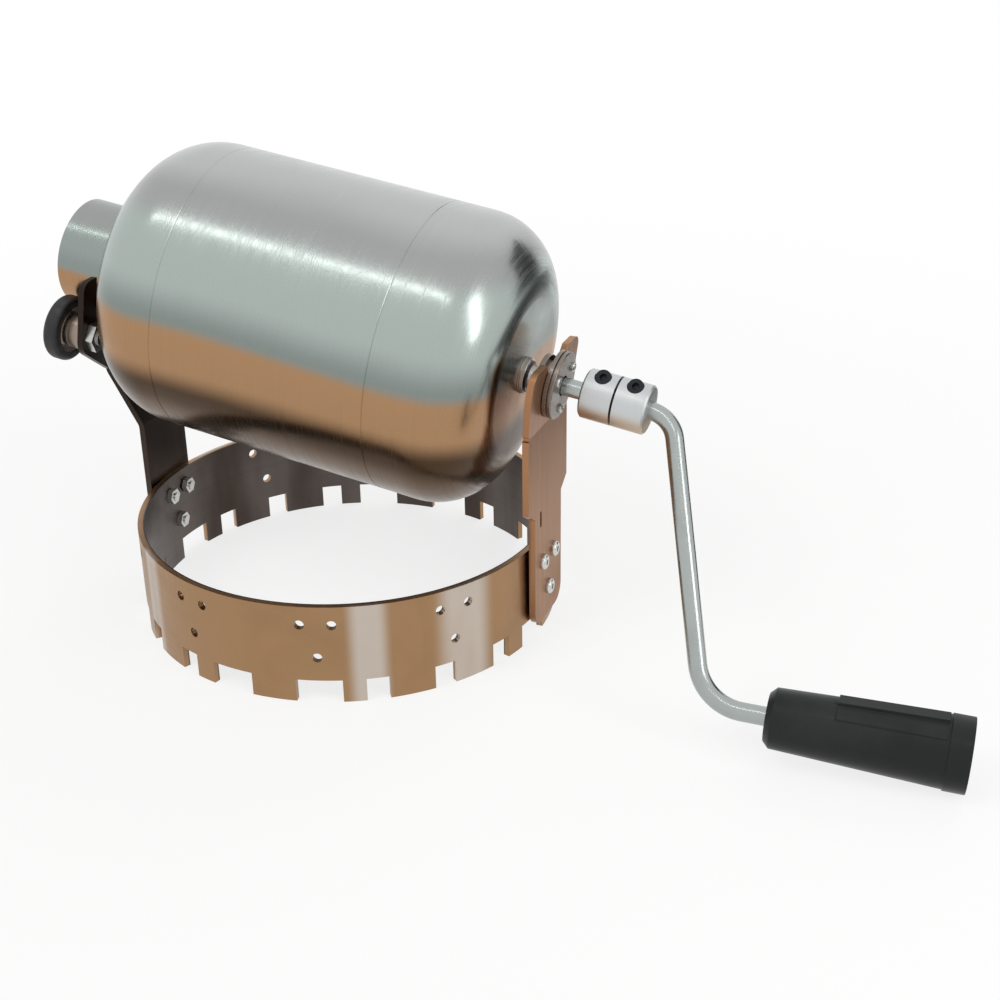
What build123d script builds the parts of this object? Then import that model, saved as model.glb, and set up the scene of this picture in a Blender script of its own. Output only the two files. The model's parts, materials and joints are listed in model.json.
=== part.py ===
"""Stovetop coffee bean roaster, turned by hand over a gas burner.

A stainless drum lies at a slope on a notched base ring. Its neck runs on two
small rollers, and the shaft at its other end turns in a bearing hub that sits
in an open seat, so that the drum lifts out of the stand for pouring.

Frame: +Z up, Z = 0 is the surface the ring stands on, the origin is the centre
of the ring, and +X points from the neck towards the crank. Millimetres.
The drum's axis lies in the plane Y = 0 and drops towards the crank. A place
along it is called an axial place, counted from the point above the origin.
"""

from build123d import *
import math
import os

# ------------------------------------------------------------ driving dimensions

# Base ring: a rolled strip whose lower edge is cut into teeth and notches
ring_outer_r = 99.0
ring_wall = 3.0
ring_height = 47.6
notch_height = 11.0
tooth_runs = (2, 1, 1, 2, 2, 2, 1, 1, 2, 1, 2, 1, 1, 2, 2, 1, 2, 2, 1, 1)  # tooth, notch, tooth ...
tooth_unit = 6.0  # degrees, the unit of the runs, which fill half a turn
first_tooth_angle = -126.0
hole_groups = 10
ring_hole_r = 2.25
screw_pair_z = 38.7
screw_pair_half_gap = 7.0
single_screw_z = 22.5

# Drum axis
drum_tilt = 8.5  # degrees, crank end lower
axis_height = 139.7

# Drum: a barrel between two spun end caps
drum_r = 66.0
drum_wall = 1.2
neck_face_gap = 9.0  # between the drum's end face and the neck-side bracket's head
crank_face_gap = 8.15  # between the drum's end face and the hub
neck_shoulder_r = 34.0
crank_shoulder_r = 31.0
neck_cap_length = 42.0
crank_cap_length = 47.0
seam_chamfer = 0.3
neck_r = 25.0
neck_wall = 1.5
mouth_past_roller = 10.0  # from the middle of the rollers to the neck's mouth
mouth_edge = 0.4

# Mixing vanes welded inside the barrel
vane_count = 3
vane_depth = 13.0
vane_wall = 1.2
vane_foot_angle = 9.0
vane_end_gap = 6.0
vane_first_angle = 30.0

# Drive end: boss, shaft, hub and its bearing
shaft_r = 4.0
shaft_root = 8.0  # length of the shaft inside the end cap
boss_r = 8.0
boss_nose_r = 5.2
boss_length = 3.0
boss_chamfer = 1.0
boss_root = 3.0  # length of the boss inside the end cap
seat_bend_drop = 18.0  # from the drum's axis down to the bend in the crank-side bracket
seat_gap = 0.25  # gap on each face of the bracket in the hub's groove
seat_side_gap = 0.3
hub_sleeve_r = 9.6
hub_inner_flange_r = 12.0
hub_inner_flange_w = 2.4
hub_flange_r = 15.3
hub_flange_w = 1.8
cover_w = 2.4
cover_groove_w = 0.5
cover_groove_depth = 1.0
cover_screw_count = 3
cover_screw_place_r = 10.9
cover_screw_r = 1.1
cover_screw_head_r = 2.1
cover_screw_head_h = 1.3
cover_screw_socket = 1.5
cover_edge = 0.4
cover_bore_r = 4.6
hub_lip_r = 6.3
hub_bearing_outer_r = 8.0
hub_bearing_w = 4.4
hub_ball_r = 1.1
hub_ball_count = 9
circlip_w = 0.8
circlip_r = 5.2
circlip_space_r = 6.0
circlip_space_w = 1.2
circlip_groove_depth = 0.4

# Coupling between shaft and crank
coupling_gap = 10.35  # from the hub cover to the coupling
coupling_length = 29.4
coupling_r = 11.0
coupling_slot_w = 1.0
coupling_slot_reach = 5.0  # of the cross slot, past the axis towards the far side
coupling_split_w = 1.0
coupling_edge = 0.8
coupling_screw_angle = 52.0  # degrees from straight up towards the near side
coupling_screw_offset = 6.5
coupling_screw_r = 2.0
coupling_head_r = 3.5
coupling_head_h = 4.0
coupling_head_face = 8.6  # distance of the head's face from the axis
coupling_screw_depth = 11.0  # length of the shank
hex_socket_across = 3.0

# Crank: one bent rod, in a plane through the drum's axis
crank_rod_r = 4.0
crank_elbow_gap = 10.2  # from the coupling to the elbow's corner
crank_arm_run = 49.2  # along the drum's axis, from the elbow's corner to the knee's
crank_knee_r = 112.0  # from the drum's axis to the knee's corner
crank_grip_slope = 7.5  # degrees by which the grip's stretch closes in on the drum's axis
crank_elbow_bend_r = 15.0
crank_knee_bend_r = 22.0
shaft_meeting_gap = 1.0  # between the ends of shaft and crank rod in the coupling

# Grip, turning freely on the end of the crank rod
grip_start_gap = 26.8  # from the knee to the near end of the grip
grip_length = 80.7
grip_near_r = 12.6
grip_far_r = 15.6
grip_collar_length = 9.0
grip_collar_step = 0.5
grip_chamfer = 2.6
grip_bore_clearance = 0.1
grip_solid_length = 44.0
grip_wall = 2.2
grip_rib_start = 27.5
grip_rib_end = 70.7
grip_rib_w = 6.0
grip_rib_rise = 1.6
grip_pad_angle = 40.0  # degrees that the raised pad reaches down on each side of the rib
grip_pad_rise = 0.4
grip_floor_gap = 0.3
grip_stop_r = 6.5
grip_stop_w = 1.2
grip_stop_recess = 2.0
grip_washer_r = 8.0
grip_washer_w = 1.2
lock_nut_across = 10.0
lock_nut_h = 5.0
grip_end_play = 0.3
thread_tail = 1.0

# Brackets, bent from one gauge of sheet
sheet = 3.0
bend_r = 4.0
bracket_bottom = 8.5
bracket_half_w = 17.0
bracket_corner_r = 8.0
seat_bracket_step_z = 67.0
seat_step_h = 5.0
seat_bracket_half_w = 24.5
seat_head_half_w = 28.5
seat_head_rise = 13.5  # top of the horns above the drum's axis
seat_horn_corner_r = 6.0
seat_mouth_half_w = 15.5
seat_mouth_drop = 5.5  # height of the lead-in over which the seat widens
seat_slot_w = 1.8
seat_slot_length = 8.0
seat_slot_y = -9.5
seat_slot_z = 61.5
relief_r = 1.2
head_overhang = 7.8  # of the neck-side head beyond the bracket's lower leg, at the drum's axis
neck_bend_z = 80.0
head_relief_r = 28.5
head_half_w = 40.0
head_horn_rise = 2.0
head_horn_half_w = 38.5
head_corner_drop = 31.5
head_root_drop = 49.0
head_corner_r = 9.0
head_horn_corner_r = 5.0
hole_clearance = 0.2

# Bracket screws and nuts, M4
screw_r = 2.0
screw_head_r = 3.6
screw_head_h = 2.2
nut_across = 7.0
nut_h = 3.0
screw_tail = 0.8
screw_socket = 2.5

# Neck rollers, each on a bearing 8 x 22 x 7
roller_angle = 50.5  # degrees from straight down, seen along the axis
roller_head_gap = 12.5  # from the middle of the head to the middle of the rollers
roller_r = 15.2
roller_w = 7.6
roller_edge_r = 2.2
roller_gap = 0.2
roller_bearing_bore_r = 4.0
roller_bearing_outer_r = 11.0
roller_bearing_w = 7.0
roller_ball_r = 1.98
roller_ball_count = 7
roller_collar_r = 8.2
roller_collar_nose_r = 5.6
roller_collar_nose_w = 1.0
roller_bolt_head_r = 6.0
roller_bolt_head_h = 3.6
roller_nut_across = 13.0
roller_nut_h = 4.0
roller_bolt_socket = 4.0

# Bearings in general
race_clearance = 0.05
shield_w = 0.3
shield_inset = 0.25
shield_gap = 0.15
land_share = 0.65  # from the pitch circle to a race's land, in ball radii

# ------------------------------------------------------------ derived places

tilt = math.radians(drum_tilt)
along = Vector(math.cos(tilt), 0, -math.sin(tilt))
upward = Vector(math.sin(tilt), 0, math.cos(tilt))
sideways = Vector(0, 1, 0)
axis_point = Vector(0, 0, axis_height)
drum_axis = Axis(axis_point, along)


def on_axis(place, side=0.0, rise=0.0):
    """The point at an axial place, moved sideways (+Y) and up, square to the axis."""
    return axis_point + along * place + sideways * side + upward * rise


def cross_plane(place, side=0.0, rise=0.0):
    """A plane square to the drum's axis: local x is +Y, local y is up, facing the crank."""
    return Plane(origin=on_axis(place, side, rise), x_dir=sideways, z_dir=along)


def turned_plane(place, angle):
    """A cross plane whose local x points at an angle from +Y, turning upward."""
    turn = math.radians(angle)
    local_x = sideways * math.cos(turn) + upward * math.sin(turn)
    return Plane(origin=on_axis(place), x_dir=local_x, z_dir=along)


def meridian_plane(side=0.0, rise=0.0):
    """The upright plane along the axis: local x is the axial place, local y is up."""
    return Plane(origin=on_axis(0, side, rise), x_dir=along, z_dir=-sideways)


ring_inner_r = ring_outer_r - ring_wall
plate_x = ring_outer_r + sheet / 2  # middle of a bracket's lower leg
screw_points = (
    (-screw_pair_half_gap, screw_pair_z),
    (screw_pair_half_gap, screw_pair_z),
    (0.0, single_screw_z),
)  # sideways place and height of the three screws of a bracket
seat_place = (plate_x + seat_bend_drop * upward.X) / along.X
seat_point = on_axis(seat_place)
seat_bend_z = seat_point.Z - seat_bend_drop * upward.Z
seat_bore_r = hub_sleeve_r + seat_side_gap

head_plane_place = -(plate_x + head_overhang) / along.X
head_point = on_axis(head_plane_place)
head_outer_face = head_plane_place - sheet / 2
head_inner_face = head_plane_place + sheet / 2
roller_place = head_plane_place - roller_head_gap
neck_mouth = roller_place - mouth_past_roller
neck_face = head_inner_face + neck_face_gap
neck_seam = neck_face + neck_cap_length
roller_reach = neck_r + roller_r + roller_gap
roller_side = roller_reach * math.sin(math.radians(roller_angle))
roller_drop = roller_reach * math.cos(math.radians(roller_angle))
roller_points = [(facing * roller_side, -roller_drop) for facing in (-1, 1)]

groove_start = seat_place - sheet / 2 - seat_gap
groove_end = seat_place + sheet / 2 + seat_gap
hub_start = groove_start - hub_inner_flange_w
crank_face = hub_start - crank_face_gap
crank_seam = crank_face - crank_cap_length
boss_shoulder = crank_face + boss_length
shaft_start = crank_face - shaft_root
cover_start = groove_end + hub_flange_w
cover_end = cover_start + cover_w
hub_bearing_place = cover_start - hub_bearing_w / 2

coupling_start = cover_end + coupling_gap
coupling_middle = coupling_start + coupling_length / 2
coupling_end = coupling_start + coupling_length
shaft_end = coupling_middle - shaft_meeting_gap / 2
crank_start = coupling_middle + shaft_meeting_gap / 2

crank_elbow_place = coupling_end + crank_elbow_gap
crank_knee_place = crank_elbow_place + crank_arm_run
slope = math.radians(crank_grip_slope)
grip_far = grip_start_gap + grip_length
grip_far_place = crank_knee_place + grip_far * math.cos(slope)
grip_far_reach = crank_knee_r - grip_far * math.sin(slope)
# The crank hangs at the angle at which the grip's far end just clears the floor.
grip_far_drop = axis_height - grip_far_place * math.sin(tilt) - grip_far_r - grip_floor_gap
crank_angle = math.acos(grip_far_drop / (grip_far_reach * math.cos(tilt)))
crank_outward = upward * -math.cos(crank_angle) - sideways * math.sin(crank_angle)
crank_plane = Plane(origin=axis_point, x_dir=along, z_dir=along.cross(crank_outward))
grip_dir = along * math.cos(slope) - crank_outward * math.sin(slope)
knee_point = axis_point + along * crank_knee_place + crank_outward * crank_knee_r
grip_start = knee_point + grip_dir * grip_start_gap
grip_top = (Vector(0, 0, 1) - grip_dir * grip_dir.Z).normalized()
grip_side = Plane(origin=grip_start, x_dir=grip_dir, z_dir=grip_dir.cross(grip_top))
grip_axis = Axis(grip_start, grip_dir)
grip_washer_start = grip_solid_length + grip_end_play
lock_nut_start = grip_washer_start + grip_washer_w
crank_tail = lock_nut_start + lock_nut_h + thread_tail
crank_end = (
    crank_knee_place + (grip_start_gap + crank_tail) * math.cos(slope),
    crank_knee_r - (grip_start_gap + crank_tail) * math.sin(slope),
)

os.makedirs("parts", exist_ok=True)


# ------------------------------------------------------------ shapes used more than once


def nut_corner_r(across):
    """Distance from a nut's axis to its corners."""
    return across / math.sqrt(3)


def hex_nut(plane, across, height, bore_r):
    """A hexagon nut standing on a plane."""
    with BuildPart() as nut:
        with BuildSketch(plane):
            RegularPolygon(radius=across / 2, side_count=6, major_radius=False)
            Circle(bore_r, mode=Mode.SUBTRACT)
        extrude(amount=height)
    return nut.part


def button_screw(plane, head_r, head_h, shank_r, shank_length, socket_across):
    """A screw whose domed head stands on a plane, with its shank below the plane."""
    with BuildPart() as screw:
        with BuildSketch(plane):
            Circle(head_r)
        extrude(amount=head_h)
        fillet(screw.faces().sort_by(Axis(plane.origin, plane.z_dir))[-1].edges(), head_h * 0.6)
        with BuildSketch(plane.offset(head_h)):
            RegularPolygon(radius=socket_across / 2, side_count=6, major_radius=False)
        extrude(amount=-head_h / 2, mode=Mode.SUBTRACT)
        with BuildSketch(plane):
            Circle(shank_r)
        extrude(amount=-shank_length)
    return screw.part


def tube(plane, outer_r, inner_r, length):
    """A round tube or washer standing on a plane."""
    with BuildPart() as ring:
        with BuildSketch(plane):
            Circle(outer_r)
            Circle(inner_r, mode=Mode.SUBTRACT)
        extrude(amount=length)
    return ring.part


class BallBearing:
    """A shielded ball bearing about a line parallel to the drum's axis."""

    def __init__(self, place, side, rise, bore_r, outer_r, width, ball_r, ball_count):
        self.place, self.side, self.rise = place, side, rise
        self.bore_r, self.outer_r, self.width = bore_r, outer_r, width
        self.ball_r, self.ball_count = ball_r, ball_count
        self.pitch_r = (bore_r + outer_r) / 2
        self.inner_land_r = self.pitch_r - ball_r * land_share
        self.outer_land_r = self.pitch_r + ball_r * land_share
        self.turn_axis = Axis(on_axis(0, side, rise), along)

    def race(self, low_r, high_r):
        """A ring between two radii, with the groove that the balls run in."""
        with BuildPart() as ring:
            with BuildSketch(meridian_plane(self.side, self.rise)):
                with Locations((self.place, (low_r + high_r) / 2)):
                    Rectangle(self.width, high_r - low_r)
                with Locations((self.place, self.pitch_r)):
                    Circle(self.ball_r + race_clearance, mode=Mode.SUBTRACT)
            revolve(axis=self.turn_axis)
        return ring.part

    def inner_ring(self):
        """The ring on the shaft or bolt."""
        return self.race(self.bore_r, self.inner_land_r)

    def outer_ring(self):
        """The ring in the housing or tyre."""
        return self.race(self.outer_land_r, self.outer_r)

    def balls(self):
        """The balls, evenly spaced in their groove."""
        with BuildPart() as ball_set:
            with Locations(cross_plane(self.place, self.side, self.rise)):
                with PolarLocations(self.pitch_r, self.ball_count):
                    Sphere(self.ball_r)
        return ball_set.part

    def shields(self):
        """The two thin discs, held in the outer ring, that close the ball space."""
        from_middle = self.width / 2 - shield_inset - shield_w
        with BuildPart() as pair:
            for start in (self.place - from_middle - shield_w, self.place + from_middle):
                with BuildSketch(cross_plane(start, self.side, self.rise)):
                    Circle(self.outer_land_r)
                    Circle(self.inner_land_r + shield_gap, mode=Mode.SUBTRACT)
                extrude(amount=shield_w)
        return pair.part


# ------------------------------------------------------------ base ring


def radial_plane(angle, z):
    """A plane at the ring's outer face, facing outward at an angle."""
    out = Vector(math.cos(math.radians(angle)), math.sin(math.radians(angle)), 0)
    return Plane(origin=out * ring_outer_r + Vector(0, 0, z), z_dir=out)


def notch_wedge(start_angle, span):
    """A wedge from the ring's centre that covers one notch."""
    reach = 1.2 * ring_outer_r
    edges = [math.radians(start_angle), math.radians(start_angle + span)]
    corners = [(reach * math.cos(a), reach * math.sin(a)) for a in edges]
    with BuildSketch() as wedge:
        with BuildLine():
            Polyline((0, 0), *corners, close=True)
        make_face()
    return wedge.sketch


screw_pair_angle = math.degrees(math.asin(screw_pair_half_gap / ring_outer_r))
group_step = 360 / hole_groups
hole_planes = []
for group in range(hole_groups):
    middle = group * group_step
    hole_planes.append(radial_plane(middle - screw_pair_angle, screw_pair_z))
    hole_planes.append(radial_plane(middle + screw_pair_angle, screw_pair_z))
    hole_planes.append(radial_plane(middle, single_screw_z))

with BuildPart() as base_ring:
    with BuildSketch():
        Circle(ring_outer_r)
        Circle(ring_inner_r, mode=Mode.SUBTRACT)
    extrude(amount=ring_height)
    with BuildSketch():
        edge_angle = first_tooth_angle
        for index, run in enumerate(tooth_runs * 2):
            if index % 2:
                add(notch_wedge(edge_angle, run * tooth_unit))
            edge_angle += run * tooth_unit
    extrude(amount=notch_height, mode=Mode.SUBTRACT)
    with Locations(*hole_planes):
        Hole(ring_hole_r, depth=2 * ring_wall)
base_ring.part.label = "base_ring"
export_step(base_ring.part, "parts/base_ring.step")


# ------------------------------------------------------------ crank-side bracket with the open seat

horn_point = on_axis(seat_place, rise=seat_head_rise)
sheet_end = on_axis(seat_place, rise=seat_head_rise + sheet)
with BuildPart() as crank_side_bracket:
    with BuildSketch(Plane.XZ):
        with BuildLine():
            FilletPolyline(
                (plate_x, bracket_bottom),
                (plate_x, seat_bend_z),
                (sheet_end.X, sheet_end.Z),
                radius=bend_r + sheet / 2,
            )
        trace(line_width=sheet)
    extrude(amount=seat_head_half_w + sheet, both=True)
    with BuildSketch(Plane.YZ):
        with BuildLine():
            Polyline(
                (0, bracket_bottom),
                (bracket_half_w, bracket_bottom),
                (bracket_half_w, seat_bracket_step_z - seat_step_h / 2),
                (seat_bracket_half_w, seat_bracket_step_z + seat_step_h / 2),
                (seat_bracket_half_w, seat_bend_z),
                (seat_head_half_w, seat_point.Z),
                (seat_head_half_w, horn_point.Z),
                (0, horn_point.Z),
            )
            mirror(about=Plane.YZ)
        make_face()
        fillet(vertices().group_by(Axis.Y)[0], bracket_corner_r)
        fillet(vertices().group_by(Axis.Y)[-1], seat_horn_corner_r)
    extrude(amount=horn_point.X + sheet, both=True, mode=Mode.INTERSECT)
    with BuildSketch(cross_plane(seat_place)):
        Circle(seat_bore_r)
        with BuildLine():
            Polyline(
                (0, 0),
                (seat_bore_r, 0),
                (seat_bore_r, seat_head_rise - seat_mouth_drop),
                (seat_mouth_half_w, seat_head_rise + sheet),
                (0, seat_head_rise + sheet),
            )
            mirror(about=Plane.YZ)
        make_face()
    extrude(amount=sheet, both=True, mode=Mode.SUBTRACT)
    with BuildSketch(Plane.YZ):
        for facing in (-1, 1):
            with Locations((facing * seat_bracket_half_w, seat_bend_z)):
                Circle(relief_r)
        with Locations((seat_slot_y, seat_slot_z)):
            SlotOverall(seat_slot_length, seat_slot_w, rotation=90)
        with Locations(*screw_points):
            Circle(ring_hole_r)
    extrude(amount=horn_point.X + sheet, mode=Mode.SUBTRACT)
crank_side_bracket.part.label = "crank_side_bracket"
export_step(crank_side_bracket.part, "parts/crank_side_bracket.step")


# ------------------------------------------------------------ neck-side bracket with the forked head


def head_z(rise):
    """Height of a point of the head above the floor, from its rise above the drum's axis."""
    return head_point.Z + rise * upward.Z


head_top = on_axis(head_plane_place, rise=head_horn_rise + sheet)
head_root = on_axis(head_plane_place, rise=-head_root_drop)
with BuildPart() as neck_side_bracket:
    with BuildSketch(Plane.XZ):
        with BuildLine():
            FilletPolyline(
                (-plate_x, bracket_bottom),
                (-plate_x, neck_bend_z),
                (head_root.X, head_root.Z),
                (head_top.X, head_top.Z),
                radius=bend_r + sheet / 2,
            )
        trace(line_width=sheet)
    extrude(amount=head_half_w + sheet, both=True)
    with BuildSketch(Plane.YZ):
        with BuildLine():
            Polyline(
                (0, bracket_bottom),
                (bracket_half_w, bracket_bottom),
                (bracket_half_w, head_z(-head_root_drop)),
                (head_half_w, head_z(-head_corner_drop)),
                (head_horn_half_w, head_z(head_horn_rise)),
                (0, head_z(head_horn_rise)),
            )
            mirror(about=Plane.YZ)
        make_face()
        fillet(vertices().group_by(Axis.Y)[0], bracket_corner_r)
        fillet(vertices().group_by(Axis.Y)[-1], head_horn_corner_r)
        fillet(vertices().sort_by(Axis.X)[0], head_corner_r)
        fillet(vertices().sort_by(Axis.X)[-1], head_corner_r)
    extrude(amount=-head_root.X + 2 * sheet, both=True, mode=Mode.INTERSECT)
    with BuildSketch(cross_plane(head_plane_place)):
        Circle(head_relief_r)
        with Locations(*roller_points):
            Circle(roller_bearing_bore_r + hole_clearance)
    extrude(amount=sheet, both=True, mode=Mode.SUBTRACT)
    with BuildSketch(Plane.YZ):
        with Locations(*screw_points):
            Circle(ring_hole_r)
    extrude(amount=head_root.X - sheet, mode=Mode.SUBTRACT)
neck_side_bracket.part.label = "neck_side_bracket"
export_step(neck_side_bracket.part, "parts/neck_side_bracket.step")


# ------------------------------------------------------------ bracket screws and nuts


def nut_face_x(side):
    """Where the outer face of a nut meets the ring's inner wall at its corners."""
    return math.sqrt(ring_inner_r**2 - (abs(side) + nut_corner_r(nut_across)) ** 2)


for bracket, facing in (("crank", 1), ("neck", -1)):
    with BuildPart() as screws:
        for side, height in screw_points:
            head_face = facing * (ring_outer_r + sheet)
            plane = Plane(origin=(head_face, side, height), x_dir=(0, 1, 0), z_dir=(facing, 0, 0))
            length = ring_outer_r + sheet - nut_face_x(side) + nut_h + screw_tail
            add(button_screw(plane, screw_head_r, screw_head_h, screw_r, length, screw_socket))
    screws.part.label = f"{bracket}_bracket_screws"
    export_step(screws.part, f"parts/{bracket}_bracket_screws.step")

    with BuildPart() as nuts:
        for side, height in screw_points:
            origin = (facing * nut_face_x(side), side, height)
            plane = Plane(origin=origin, x_dir=(0, 1, 0), z_dir=(-facing, 0, 0))
            add(hex_nut(plane, nut_across, nut_h, screw_r))
    nuts.part.label = f"{bracket}_bracket_nuts"
    export_step(nuts.part, f"parts/{bracket}_bracket_nuts.step")


# ------------------------------------------------------------ neck rollers and their bolts

roller_bearing_start = roller_place - roller_bearing_w / 2
roller_bearing_end = roller_place + roller_bearing_w / 2
roller_bolt_end = head_inner_face + roller_nut_h + screw_tail

with BuildPart() as roller_bolts:
    for side, rise in roller_points:
        under_head = cross_plane(roller_bearing_start, side, rise)
        facing_out = Plane(origin=under_head.origin, x_dir=sideways, z_dir=-along)
        add(
            button_screw(
                facing_out,
                roller_bolt_head_r,
                roller_bolt_head_h,
                roller_bearing_bore_r,
                roller_bolt_end - roller_bearing_start,
                roller_bolt_socket,
            )
        )
roller_bolts.part.label = "roller_bolts"
export_step(roller_bolts.part, "parts/roller_bolts.step")

with BuildPart() as roller_collars:
    for side, rise in roller_points:
        nose = cross_plane(roller_bearing_end, side, rise)
        add(tube(nose, roller_collar_nose_r, roller_bearing_bore_r, roller_collar_nose_w))
        body_length = head_outer_face - roller_bearing_end - roller_collar_nose_w
        body = nose.offset(roller_collar_nose_w)
        add(tube(body, roller_collar_r, roller_bearing_bore_r, body_length))
roller_collars.part.label = "roller_collars"
export_step(roller_collars.part, "parts/roller_collars.step")

with BuildPart() as roller_nuts:
    for side, rise in roller_points:
        plane = cross_plane(head_inner_face, side, rise)
        add(hex_nut(plane, roller_nut_across, roller_nut_h, roller_bearing_bore_r))
roller_nuts.part.label = "roller_nuts"
export_step(roller_nuts.part, "parts/roller_nuts.step")

for name, (side, rise) in zip(("near", "far"), roller_points):
    bearing = BallBearing(
        roller_place,
        side,
        rise,
        roller_bearing_bore_r,
        roller_bearing_outer_r,
        roller_bearing_w,
        roller_ball_r,
        roller_ball_count,
    )
    with BuildPart() as roller_tyre:
        with BuildSketch(meridian_plane(side, rise)):
            with Locations((roller_place, (roller_bearing_outer_r + roller_r) / 2)):
                Rectangle(roller_w, roller_r - roller_bearing_outer_r)
            fillet(vertices().group_by(Axis.Y)[-1], roller_edge_r)
        revolve(axis=bearing.turn_axis)
    roller_tyre.part.label = f"{name}_roller_tyre"
    export_step(roller_tyre.part, f"parts/{name}_roller_tyre.step")

    with BuildPart() as outer_ring:
        add(bearing.outer_ring())
    outer_ring.part.label = f"{name}_roller_outer_ring"
    export_step(outer_ring.part, f"parts/{name}_roller_outer_ring.step")

    with BuildPart() as inner_ring:
        add(bearing.inner_ring())
    inner_ring.part.label = f"{name}_roller_inner_ring"
    export_step(inner_ring.part, f"parts/{name}_roller_inner_ring.step")

    with BuildPart() as balls:
        add(bearing.balls())
    balls.part.label = f"{name}_roller_balls"
    export_step(balls.part, f"parts/{name}_roller_balls.step")

    with BuildPart() as shields:
        add(bearing.shields())
    shields.part.label = f"{name}_roller_shields"
    export_step(shields.part, f"parts/{name}_roller_shields.step")


# ------------------------------------------------------------ hub: body, cover, screws, bearing

hub_bearing = BallBearing(
    hub_bearing_place,
    0.0,
    0.0,
    shaft_r,
    hub_bearing_outer_r,
    hub_bearing_w,
    hub_ball_r,
    hub_ball_count,
)
bearing_seat_start = cover_start - hub_bearing_w
cover_screw_spots = [
    (cover_screw_place_r, -90 + turn * 360 / cover_screw_count) for turn in range(cover_screw_count)
]


def polar_point(radius, angle):
    """A point of a cross plane, from its distance and its angle from +Y."""
    return (radius * math.cos(math.radians(angle)), radius * math.sin(math.radians(angle)))


with BuildPart() as hub_body:
    with BuildSketch(meridian_plane()):
        with BuildLine():
            Polyline(
                (hub_start, hub_lip_r),
                (hub_start, hub_inner_flange_r),
                (groove_start, hub_inner_flange_r),
                (groove_start, hub_sleeve_r),
                (groove_end, hub_sleeve_r),
                (groove_end, hub_flange_r),
                (cover_start, hub_flange_r),
                (cover_start, hub_bearing_outer_r),
                (bearing_seat_start, hub_bearing_outer_r),
                (bearing_seat_start, hub_lip_r),
                close=True,
            )
        make_face()
    revolve(axis=drum_axis)
    with BuildSketch(cross_plane(cover_start)):
        with Locations(*[polar_point(*spot) for spot in cover_screw_spots]):
            Circle(cover_screw_r)
    extrude(amount=-hub_flange_w, mode=Mode.SUBTRACT)
hub_body.part.label = "hub_body"
export_step(hub_body.part, "parts/hub_body.step")

with BuildPart() as hub_cover:
    with BuildSketch(meridian_plane()):
        with BuildLine():
            Polyline(
                (cover_start, circlip_space_r),
                (cover_start, hub_flange_r - cover_groove_depth),
                (cover_start + cover_groove_w, hub_flange_r - cover_groove_depth),
                (cover_start + cover_groove_w, hub_flange_r),
                (cover_end - cover_edge, hub_flange_r),
                (cover_end, hub_flange_r - cover_edge),
                (cover_end, cover_bore_r),
                (cover_start + circlip_space_w, cover_bore_r),
                (cover_start + circlip_space_w, circlip_space_r),
                close=True,
            )
        make_face()
    revolve(axis=drum_axis)
    with BuildSketch(cross_plane(cover_end)):
        with Locations(*[polar_point(*spot) for spot in cover_screw_spots]):
            Circle(cover_screw_r)
    extrude(amount=-cover_w, mode=Mode.SUBTRACT)
hub_cover.part.label = "hub_cover"
export_step(hub_cover.part, "parts/hub_cover.step")

with BuildPart() as hub_cover_screws:
    for spot in cover_screw_spots:
        side, rise = polar_point(*spot)
        add(
            button_screw(
                cross_plane(cover_end, side, rise),
                cover_screw_head_r,
                cover_screw_head_h,
                cover_screw_r,
                cover_w + hub_flange_w - seat_gap,
                cover_screw_socket,
            )
        )
hub_cover_screws.part.label = "hub_cover_screws"
export_step(hub_cover_screws.part, "parts/hub_cover_screws.step")

with BuildPart() as hub_bearing_outer_ring:
    add(hub_bearing.outer_ring())
hub_bearing_outer_ring.part.label = "hub_bearing_outer_ring"
export_step(hub_bearing_outer_ring.part, "parts/hub_bearing_outer_ring.step")

with BuildPart() as hub_bearing_inner_ring:
    add(hub_bearing.inner_ring())
hub_bearing_inner_ring.part.label = "hub_bearing_inner_ring"
export_step(hub_bearing_inner_ring.part, "parts/hub_bearing_inner_ring.step")

with BuildPart() as hub_bearing_balls:
    add(hub_bearing.balls())
hub_bearing_balls.part.label = "hub_bearing_balls"
export_step(hub_bearing_balls.part, "parts/hub_bearing_balls.step")

with BuildPart() as hub_bearing_shields:
    add(hub_bearing.shields())
hub_bearing_shields.part.label = "hub_bearing_shields"
export_step(hub_bearing_shields.part, "parts/hub_bearing_shields.step")


# ------------------------------------------------------------ drum: barrel, end caps, neck, vanes


def seam_groove(place):
    """The fine V groove round the drum, where two shells are butted and welded."""
    with BuildPart() as groove:
        with BuildSketch(meridian_plane()):
            with BuildLine():
                Polyline(
                    (place - seam_chamfer, drum_r),
                    (place, drum_r - seam_chamfer),
                    (place + seam_chamfer, drum_r),
                    close=True,
                )
            make_face()
        revolve(axis=drum_axis)
    return groove.part


def end_cap(face, seam, shoulder_r, hole_r):
    """A spun cap: a cylinder from the seam, a round shoulder and a flat face with a hole."""
    inward = math.copysign(1, seam - face)
    middle_r = drum_r - drum_wall / 2
    middle_face = face + inward * drum_wall / 2
    with BuildPart() as cap:
        with BuildSketch(meridian_plane()):
            with BuildLine():
                FilletPolyline(
                    (seam, middle_r),
                    (middle_face, middle_r),
                    (middle_face, hole_r),
                    radius=shoulder_r - drum_wall / 2,
                )
            trace(line_width=drum_wall)
        revolve(axis=drum_axis)
        add(seam_groove(seam), mode=Mode.SUBTRACT)
    return cap.part


drum_inner_r = drum_r - drum_wall

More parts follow.
